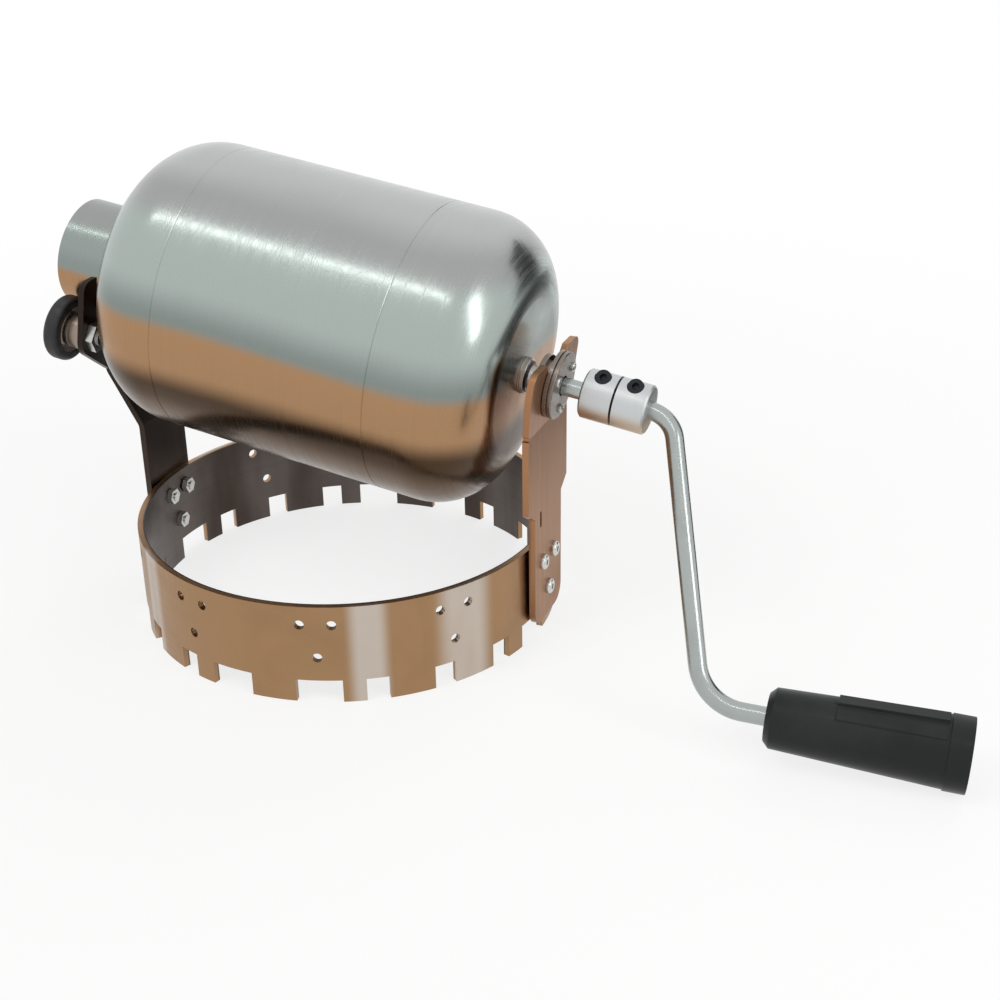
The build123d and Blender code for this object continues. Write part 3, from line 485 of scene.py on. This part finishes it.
def ring_steel(colours):
    """Rolled strip of the ring: grain along the strip, bright wiped bands, and painted shade on the inner face."""
    finish, vector, shade = brushed_metal(
        "ring_steel", colours.ring, UPRIGHT_FRAME, STRIP_GRAIN, roughness=0.34, depth=0.2, marks=0.3)
    tree = finish.tree
    parts = separated(tree, vector)
    angle = math_node(tree, "ARCTAN2", parts["Y"], parts["X"])
    wiped = 0.0
    for middle, half in WIPED_BANDS:
        away = math_node(tree, "ABSOLUTE", math_node(tree, "SUBTRACT", angle, math.radians(middle)))
        band = remap(tree, away, math.radians(half * 1.5), math.radians(half * 0.55))
        wiped = math_node(tree, "MAXIMUM", wiped, band)
    uneven = noise(tree, scaled(tree, vector, (26.0, 26.0, 7.0)), 1.0, 3.0)
    wiped = math_node(tree, "MULTIPLY", wiped, remap(tree, uneven, 0.30, 0.55, 0.55, 1.0))
    radius = distance_from_axis(tree, parts["X"], parts["Y"])
    outer_face = remap(tree, radius, RING_R - 1.8 * MM, RING_R - 0.8 * MM)
    # Painted shade: the inner face is darkened, with paler patches.
    inner_face = remap(tree, radius, RING_R - 2.1 * MM, RING_R - 2.8 * MM)
    outside = finish.blend(math_node(tree, "MULTIPLY", wiped, outer_face), shade, colours.ring_bright)
    painted_shade = finish.blend(remap(tree, uneven, 0.35, 0.70), darker(colours.painted_shade, 0.75), PAINTED_SHADE_HAZE)
    finish.feed("Base Color", finish.blend(inner_face, outside, painted_shade))
    return finish.material


def bracket_steel(name, foot, head):
    """Bent sheet: grain up the leg, and a tint that goes from one colour at the foot to one at the head."""
    finish, vector, shade = brushed_metal(
        name, foot, UPRIGHT_FRAME, SHEET_GRAIN, roughness=0.36, depth=0.2, marks=0.4)
    tree = finish.tree
    cloud = math_node(tree, "MULTIPLY", noise(tree, vector, 38.0, 3.0), 30 * MM)
    height = math_node(tree, "ADD", separated(tree, vector)["Z"], cloud)
    up = remap(tree, height, BRACKET_TINT_LOW, BRACKET_TINT_HIGH)
    finish.feed("Base Color", finish.blend(up, shade, head))
    return finish.material


def blasted_aluminium(colours):
    """Bead-blasted aluminium: an even fine pitting over a matte colour, with a painted warm reflection of the
    table underneath.
    """
    finish = Finish("blasted_aluminium")
    tree = finish.tree
    pits = noise(tree, finish.coords, 2600.0, 3.0, 0.7)
    worn = finish.group("marks", Vector=finish.coords, Size=60.0)
    turned = finish.group("turned", Vector=finish.turned_to(DRUM_FRAME))
    shade = finish.blend(pits, darker(colours.aluminium, 0.88), darker(colours.aluminium, 1.10))
    stains = math_node(tree, "MULTIPLY", worn["Stains"], 0.25)
    handled = finish.blend(stains, shade, darker(colours.aluminium, 0.7))
    # Painted reflection: the underside takes the table's warm colour.
    under = remap(tree, turned["Lift"], 0.05, -0.45)
    finish.feed("Base Color", finish.blend(under, handled, PAINTED_TABLE_REFLECTION))
    finish.feed("Roughness", remap(tree, pits, 0.3, 0.7, 0.36, 0.50))
    finish.feed("Normal", bumped(tree, pits, 0.35, 0.03 * MM))
    return finish.material


def tyre_rubber(colours):
    """Matte black rubber, with a little dust in its skin."""
    finish = Finish("tyre_rubber", metallic=0.0)
    tree = finish.tree
    skin = noise(tree, finish.coords, 1800.0, 3.0)
    dust = noise(tree, finish.coords, 140.0, 4.0)
    dusty = remap(tree, dust, 0.5, 0.8)
    finish.feed("Base Color", finish.blend(dusty, colours.rubber, RUBBER_DUST))
    finish.feed("Roughness", remap(tree, dust, 0.3, 0.7, 0.42, 0.62))
    finish.feed("Normal", bumped(tree, skin, 0.3, 0.04 * MM))
    return finish.material


def grip_plastic(colours):
    """Dark moulded plastic: fine spark texture, rubbed smoother in places."""
    finish = Finish("grip_plastic", metallic=0.0)
    finish.shader.inputs["Specular IOR Level"].default_value = 0.22
    tree = finish.tree
    spark = noise(tree, finish.coords, 1500.0, 2.0, 0.6)
    rubbed = noise(tree, finish.coords, 45.0, 3.0)
    pale = remap(tree, rubbed, 0.4, 0.75)
    finish.feed("Base Color", finish.blend(pale, colours.grip, darker(colours.grip, 1.7)))
    finish.feed("Roughness", remap(tree, rubbed, 0.3, 0.7, 0.30, 0.44))
    finish.feed("Normal", bumped(tree, spark, 0.3, 0.05 * MM))
    return finish.material


# ---------------------------------------------------------------- pieces


def body_of(node):
    """The CAD body that a node belongs to."""
    for body, members in frame["record"]["behaviour"]["bodies"].items():
        if node in members:
            return body
    raise KeyError(node)


def give(material, *pieces):
    """Puts one material on pieces and on CAD nodes given by name."""
    for piece in pieces:
        mesh = (frame["nodes"][piece] if isinstance(piece, str) else piece).data
        mesh.materials.clear()
        mesh.materials.append(material)


def finish_piece(shape, name, body, material, smooth_angle=35.0):
    """Turns a bmesh into a finished piece at the origin that rides on a body."""
    mesh = bpy.data.meshes.new(name)
    shape.to_mesh(mesh)
    shape.free()
    for polygon in mesh.polygons:
        polygon.use_smooth = True
    mesh.set_sharp_from_angle(angle=math.radians(smooth_angle))
    piece = bpy.data.objects.new(name, mesh)
    bpy.context.scene.collection.objects.link(piece)
    give(material, piece)
    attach(piece, body)
    return piece


def softened(node, edge, material, segments=2):
    """A copy of a CAD node with its vertices merged and its sharp edges rounded, in the node's place."""
    shape = bmesh.new()
    shape.from_mesh(frame["nodes"][node].data)
    bmesh.ops.remove_doubles(shape, verts=shape.verts, dist=0.001 * MM)
    bmesh.ops.dissolve_limit(
        shape, angle_limit=math.radians(0.4), use_dissolve_boundaries=False,
        verts=shape.verts, edges=shape.edges, delimit=set())
    piece = finish_piece(shape, node + "_finished", body_of(node), material)
    bevel = piece.modifiers.new("rounded_edges", "BEVEL")
    bevel.width = edge
    bevel.segments = segments
    bevel.limit_method = "ANGLE"
    bevel.angle_limit = math.radians(32.0)
    bevel.harden_normals = True
    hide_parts(node)


def weld_bead(name, place, radius, width, ripples, material):
    """A rippled weld bead round the drum's axis, sunk into the corner it fills."""
    shape = bmesh.new()
    section = bmesh.ops.create_circle(shape, segments=12, radius=width / 2)["verts"]
    stand_up = Matrix.Translation((place, 0.0, radius)) @ Matrix.Rotation(math.radians(90), 4, "X")
    bmesh.ops.transform(shape, matrix=stand_up, verts=section)
    bmesh.ops.spin(
        shape, geom=shape.verts[:] + shape.edges[:], cent=(0, 0, 0), axis=(1, 0, 0),
        angle=math.tau, steps=ripples * 4, use_merge=True, dvec=(0, 0, 0))
    bmesh.ops.remove_doubles(shape, verts=shape.verts, dist=0.0001 * MM)
    for vertex in shape.verts:
        turn = math.atan2(vertex.co.y, vertex.co.z)
        middle = Vector((place, math.sin(turn) * radius, math.cos(turn) * radius))
        swell = 0.88 + 0.12 * math.cos(turn * ripples)
        vertex.co = middle + (vertex.co - middle) * swell
    bmesh.ops.transform(shape, matrix=DRUM_FRAME, verts=shape.verts)
    bmesh.ops.recalc_face_normals(shape, faces=shape.faces)
    finish_piece(shape, name, "roasting_drum", material, 60.0)


# ---------------------------------------------------------------- stage

LAMPS = (  # name, place, target, width and height, power in watts, whether shiny metal shows it
    ("key_lamp", (-0.75, -1.15, 1.55), (0.0, 0.0, 0.12), (0.9, 0.9), 13.0, False),
    ("overhead_strip", (-0.06, -0.42, 1.05), (0.0, 0.0, 0.16), (1.14, 0.045), 0.85, True),
    ("window_strip", (1.05, -0.16, 0.60), (0.09, -0.04, 0.16), (0.20, 0.62), 1.75, True),
    ("fill_lamp", (1.3, -0.6, 0.9), (0.0, 0.0, 0.12), (0.7, 0.7), 4.5, False),
    ("back_lamp", (0.3, 1.5, 1.2), (0.0, 0.0, 0.12), (0.9, 0.9), 7.0, False),
)
DARK_CARDS = (  # name, place, point that it faces, width, height
    ("dark_card_standing", (0.60, 0.80, 0.24), (0.09, -0.01, 0.24), 0.44, 0.72),
    ("dark_card_lying", (0.36, 0.46, 0.003), (0.36, 0.46, 1.0), 0.34, 0.70),
)
FLOOR_SIDE = 12.0
FLOOR_PALE = (0.82, 0.82, 0.81, 1.0)
FLOOR_GLOW_NEAR = (0.15, 0.78)  # distance from the object's middle, share of plain white there
FLOOR_GLOW_FAR = (0.75, 1.0)
CARD_BLACK = (0.02, 0.02, 0.02, 1.0)
WHITE = (1.0, 1.0, 1.0, 1.0)
ROOM_LIGHT = 0.55
CAMERA_PLACE = (326.807 * MM, -611.773 * MM, 391.293 * MM)
CAMERA_TURN = (63.5423, 0.7941, 21.6988)  # degrees about X, Y and Z
CAMERA_LENS = 57.958  # in mm, as the sensor's width is
CAMERA_SENSOR = 36.0


def facing(place, target):
    """The turn that points a lamp's light from its place to a target."""
    return (Vector(place) - Vector(target)).to_track_quat("Z", "Y").to_euler()


def area_lamp(scene, name, place, target, size, power, mirrored):
    """A rectangular soft lamp that faces a target; only a mirrored one shows in shiny metal."""
    data = bpy.data.lights.new(name, "AREA")
    data.shape = "RECTANGLE"
    data.size, data.size_y = size
    data.energy = power
    lamp = bpy.data.objects.new(name, data)
    lamp.visible_glossy = mirrored
    lamp.location = place
    lamp.rotation_euler = facing(place, target)
    scene.collection.objects.link(lamp)


def stage_sheet(scene, name, width, height, material):
    """A flat rectangle of the stage, facing up."""
    shape = bmesh.new()
    bmesh.ops.create_grid(shape, x_segments=1, y_segments=1, size=0.5)
    bmesh.ops.scale(shape, vec=(width, height, 1.0), verts=shape.verts)
    mesh = bpy.data.meshes.new(name)
    shape.to_mesh(mesh)
    shape.free()
    sheet = bpy.data.objects.new(name, mesh)
    scene.collection.objects.link(sheet)
    give(material, sheet)
    return sheet


def dark_card(scene, name, place, target, width, height):
    """A dark card beside the object, seen only in shiny metal, to which it gives its dark edges."""
    material = bpy.data.materials.new("card_black")
    material.use_nodes = True
    material.node_tree.nodes["Principled BSDF"].inputs["Base Color"].default_value = CARD_BLACK
    card = stage_sheet(scene, name, width, height, material)
    card.location = place
    card.rotation_euler = facing(target, place)
    card.visible_camera = False
    card.visible_diffuse = False
    card.visible_shadow = False


def shown_rays(tree):
    """1 for camera, glossy and transmission rays, 0 for the rest."""
    path = tree.nodes.new("ShaderNodeLightPath")
    seen = math_node(tree, "MAXIMUM", path.outputs["Is Camera Ray"], path.outputs["Is Glossy Ray"])
    return math_node(tree, "MAXIMUM", seen, path.outputs["Is Transmission Ray"])


def mixed(tree, share, first, second, output):
    """Mixes two shaders by a share and gives the result to the output node."""
    mix = tree.nodes.new("ShaderNodeMixShader")
    for source, socket in zip((share, first.outputs[0], second.outputs[0]), mix.inputs):
        plug(tree, source, socket)
    plug(tree, mix.outputs[0], tree.nodes[output].inputs["Surface"])


def floor_material():
    """A pale floor that shows white, and keeps the object's shadow."""
    material = bpy.data.materials.new("pale_floor")
    material.use_nodes = True
    tree = material.node_tree
    matt = tree.nodes["Principled BSDF"]
    matt.inputs["Base Color"].default_value = FLOOR_PALE
    matt.inputs["Roughness"].default_value = 0.9
    matt.inputs["Specular IOR Level"].default_value = 0.1
    glow = tree.nodes.new("ShaderNodeEmission")
    parts = separated(tree, tree.nodes.new("ShaderNodeTexCoord").outputs["Object"])
    away = distance_from_axis(tree, parts["X"], parts["Y"])
    (near, low), (far, high) = FLOOR_GLOW_NEAR, FLOOR_GLOW_FAR
    share = math_node(tree, "MULTIPLY", shown_rays(tree), remap(tree, away, near, far, low, high))
    mixed(tree, share, matt, glow, "Material Output")
    return material


def studio_world(scene):
    """White where it is seen or mirrored, and a softer even light elsewhere."""
    world = bpy.data.worlds.new("studio")
    scene.world = world
    world.use_nodes = True
    tree = world.node_tree
    seen = tree.nodes["Background"]
    light = tree.nodes.new("ShaderNodeBackground")
    for node, strength in ((seen, 1.0), (light, ROOM_LIGHT)):
        node.inputs["Color"].default_value = WHITE
        node.inputs["Strength"].default_value = strength
    mixed(tree, shown_rays(tree), light, seen, "World Output")


def hang_camera(scene):
    """The camera at the photograph's viewing angle."""
    camera = bpy.data.objects.new("camera", bpy.data.cameras.new("camera"))
    scene.collection.objects.link(camera)
    camera.data.sensor_width = CAMERA_SENSOR
    camera.data.lens = CAMERA_LENS
    camera.data.clip_start = 0.02
    camera.data.clip_end = 30.0
    camera.location = CAMERA_PLACE
    camera.rotation_euler = [math.radians(angle) for angle in CAMERA_TURN]
    scene.camera = camera


# ---------------------------------------------------------------- operators


class ROASTER_OT_drum(bpy.types.Operator):
    """Finishes the drum's shells, neck, vanes and drive boss, and lays the weld beads"""

    bl_idname = "roaster.drum"
    bl_label = "Drum"

    def execute(self, context):
        sizes, colours = context.scene.roaster_sizes, context.scene.roaster_colours
        satin = drum_steel(colours)
        give(satin, "drum_barrel", "neck_end_cap", "crank_end_cap")
        give(neck_steel(colours), "neck_tube")
        vane = bright_metal("vane_steel", VANE_BROWN, DRUM_FRAME, 0.40, VANE_GRAIN)
        give(vane, "mixing_vanes")
        bead = bright_metal("weld_metal", WELD_STRAW, DRUM_FRAME, 0.34, even_grain(60.0))
        neck_face = spun_span("neck_end_cap")[0]
        crank_face = spun_span("crank_end_cap")[1]
        neck_seam, crank_seam = spun_span("drum_barrel")
        seam_r = DRUM_R - SEAM_SUNK
        for name, place, radius, width, ripples, material in (
                ("neck_weld", neck_face, NECK_R, sizes.weld_width, sizes.weld_ripples, bead),
                ("boss_weld", crank_face, spun_radius("drive_boss"), BOSS_WELD * sizes.weld_width,
                 BOSS_RIPPLES, bead),
                ("neck_seam_weld", neck_seam, seam_r, sizes.seam_width, SEAM_RIPPLES, satin),
                ("crank_seam_weld", crank_seam, seam_r, sizes.seam_width, SEAM_RIPPLES, satin)):
            weld_bead(name, place, radius, width, ripples, material)
        boss = bright_metal("boss_steel", TURNED_STEEL, DRUM_FRAME, 0.30, turned_grain(2400.0, 20.0))
        softened("drive_boss", sizes.turned_edge, boss)
        return {"FINISHED"}


class ROASTER_OT_stand(bpy.types.Operator):
    """Finishes the base ring and the two bent brackets"""

    bl_idname = "roaster.stand"
    bl_label = "Stand"

    def execute(self, context):
        sizes, colours = context.scene.roaster_sizes, context.scene.roaster_colours
        softened("base_ring", sizes.sheet_edge, ring_steel(colours))
        # Painted shade: the neck-side bracket is dark all over, and its head darker still.
        for side, shade, head_share in (("crank", colours.bracket, 1.18), ("neck", colours.painted_shade, 0.45)):
            steel = bracket_steel(f"{side}_bracket_steel", shade, darker(shade, head_share))
            softened(f"{side}_side_bracket", sizes.sheet_edge, steel)
        return {"FINISHED"}


class ROASTER_OT_rollers(bpy.types.Operator):
    """Finishes the rollers that carry the neck, with their bearings, bolts, collars and nuts"""

    bl_idname = "roaster.rollers"
    bl_label = "Neck rollers"

    def execute(self, context):
        sizes, colours = context.scene.roaster_sizes, context.scene.roaster_colours
        rubber = tyre_rubber(colours)
        race = bright_metal("bearing_steel", BEARING_STEEL, DRUM_FRAME, 0.20, turned_grain(2600.0, 30.0))
        shield = bright_metal("shield_steel", TURNED_STEEL, DRUM_FRAME, 0.34, even_grain(300.0))
        for side in ("near", "far"):
            give(rubber, f"{side}_roller_tyre")
            give(shield, f"{side}_roller_shields")
            give(race, *(f"{side}_roller_{part}" for part in ("outer_ring", "inner_ring", "balls")))
        plated = bright_metal("bolt_plating", colours.hardware, DRUM_FRAME, 0.28, even_grain(500.0))
        collar = bright_metal("collar_steel", COLLAR_STEEL, DRUM_FRAME, 0.30, turned_grain(2200.0, 24.0))
        softened("roller_bolts", sizes.turned_edge, plated)
        softened("roller_nuts", sizes.turned_edge, plated)
        softened("roller_collars", sizes.turned_edge, collar)
        return {"FINISHED"}


class ROASTER_OT_hub(bpy.types.Operator):
    """Finishes the hub that drops into the open seat, its cover, screws and bearing, and the circlip"""

    bl_idname = "roaster.hub"
    bl_label = "Hub"

    def execute(self, context):
        sizes, colours = context.scene.roaster_sizes, context.scene.roaster_colours
        turned = bright_metal("hub_steel", HUB_STEEL, DRUM_FRAME, 0.26)
        softened("hub_body", sizes.turned_edge, turned)
        softened("hub_cover", sizes.turned_edge, turned)
        race = bright_metal("hub_race_steel", BEARING_STEEL, DRUM_FRAME, 0.20, turned_grain(2600.0, 30.0))
        give(race, *(f"hub_bearing_{part}" for part in ("outer_ring", "inner_ring", "balls", "shields")))
        plated = bright_metal("cover_screw_plating", colours.hardware, DRUM_FRAME, 0.28)
        give(plated, "hub_cover_screws", "shaft_circlip")
        return {"FINISHED"}


class ROASTER_OT_crank(bpy.types.Operator):
    """Finishes the shaft, the clamp coupling, the bent crank rod and the hardware that holds the grip"""

    bl_idname = "roaster.crank"
    bl_label = "Crank"

    def execute(self, context):
        sizes, colours = context.scene.roaster_sizes, context.scene.roaster_colours
        drawn = bright_metal("drawn_rod", colours.rod, DRUM_FRAME, 0.22, even_grain(420.0))
        give(drawn, "crank_rod", "drive_shaft")
        softened("coupling_body", sizes.turned_edge, blasted_aluminium(colours))
        oxide = bright_metal("black_oxide", BLACK_OXIDE, DRUM_FRAME, 0.36)
        softened("coupling_screws", sizes.turned_edge, oxide)
        plated = bright_metal("grip_hardware", colours.hardware, DRUM_FRAME, 0.30)
        give(plated, "grip_stop_ring", "grip_washer", "grip_lock_nut")
        return {"FINISHED"}


class ROASTER_OT_fasteners(bpy.types.Operator):
    """Finishes the screws and nuts that hold the brackets to the ring"""

    bl_idname = "roaster.fasteners"
    bl_label = "Bracket fasteners"

    def execute(self, context):
        sizes, colours = context.scene.roaster_sizes, context.scene.roaster_colours
        plated = bright_metal("fastener_plating", darker(colours.hardware, 1.15), UPRIGHT_FRAME, 0.26)
        for side in ("crank", "neck"):
            softened(f"{side}_bracket_screws", sizes.turned_edge, plated)
            softened(f"{side}_bracket_nuts", sizes.turned_edge, plated)
        return {"FINISHED"}


class ROASTER_OT_grip(bpy.types.Operator):
    """Finishes the moulded grip that turns on the end of the crank"""

    bl_idname = "roaster.grip"
    bl_label = "Grip"

    def execute(self, context):
        sizes, colours = context.scene.roaster_sizes, context.scene.roaster_colours
        softened("handle_grip", sizes.grip_edge, grip_plastic(colours), segments=3)
        return {"FINISHED"}


class ROASTER_OT_stage(bpy.types.Operator):
    """Lays the pale floor, hangs the soft lamps and sets the camera"""

    bl_idname = "roaster.stage"
    bl_label = "Stage"

    def execute(self, context):
        scene = context.scene
        stage_sheet(scene, "floor", FLOOR_SIDE, FLOOR_SIDE, floor_material())
        studio_world(scene)
        for lamp in LAMPS:
            area_lamp(scene, *lamp)
        for card in DARK_CARDS:
            dark_card(scene, *card)
        hang_camera(scene)
        scene.view_settings.view_transform = "Standard"
        return {"FINISHED"}


STEPS = (
    ROASTER_OT_drum,
    ROASTER_OT_stand,
    ROASTER_OT_rollers,
    ROASTER_OT_hub,
    ROASTER_OT_crank,
    ROASTER_OT_fasteners,
    ROASTER_OT_grip,
    ROASTER_OT_stage,
)


class ROASTER_PT_panel(bpy.types.Panel):
    """Sizes, colours and steps of the roaster"""

    bl_idname = "ROASTER_PT_panel"
    bl_label = "Coffee Roaster"
    bl_space_type = "VIEW_3D"
    bl_region_type = "UI"
    bl_category = "Roaster"

    def draw(self, context):
        layout = self.layout
        for group in (context.scene.roaster_sizes, context.scene.roaster_colours):
            box = layout.box()
            for name in group.__annotations__:
                box.prop(group, name)
        for step in STEPS:
            layout.operator(step.bl_idname)


CLASSES = (RoasterSizes, RoasterColours, *STEPS, ROASTER_PT_panel)


def register():
    for cls in CLASSES:
        bpy.utils.register_class(cls)
    bpy.types.Scene.roaster_sizes = PointerProperty(type=RoasterSizes)
    bpy.types.Scene.roaster_colours = PointerProperty(type=RoasterColours)


def unregister():
    del bpy.types.Scene.roaster_colours
    del bpy.types.Scene.roaster_sizes
    for cls in reversed(CLASSES):
        bpy.utils.unregister_class(cls)


def main():
    register()
    bpy.ops.roaster.drum()
    bpy.ops.roaster.stand()
    bpy.ops.roaster.rollers()
    bpy.ops.roaster.hub()
    bpy.ops.roaster.crank()
    bpy.ops.roaster.fasteners()
    bpy.ops.roaster.grip()
    bpy.ops.roaster.stage()


if __name__ == "__main__":
    main()
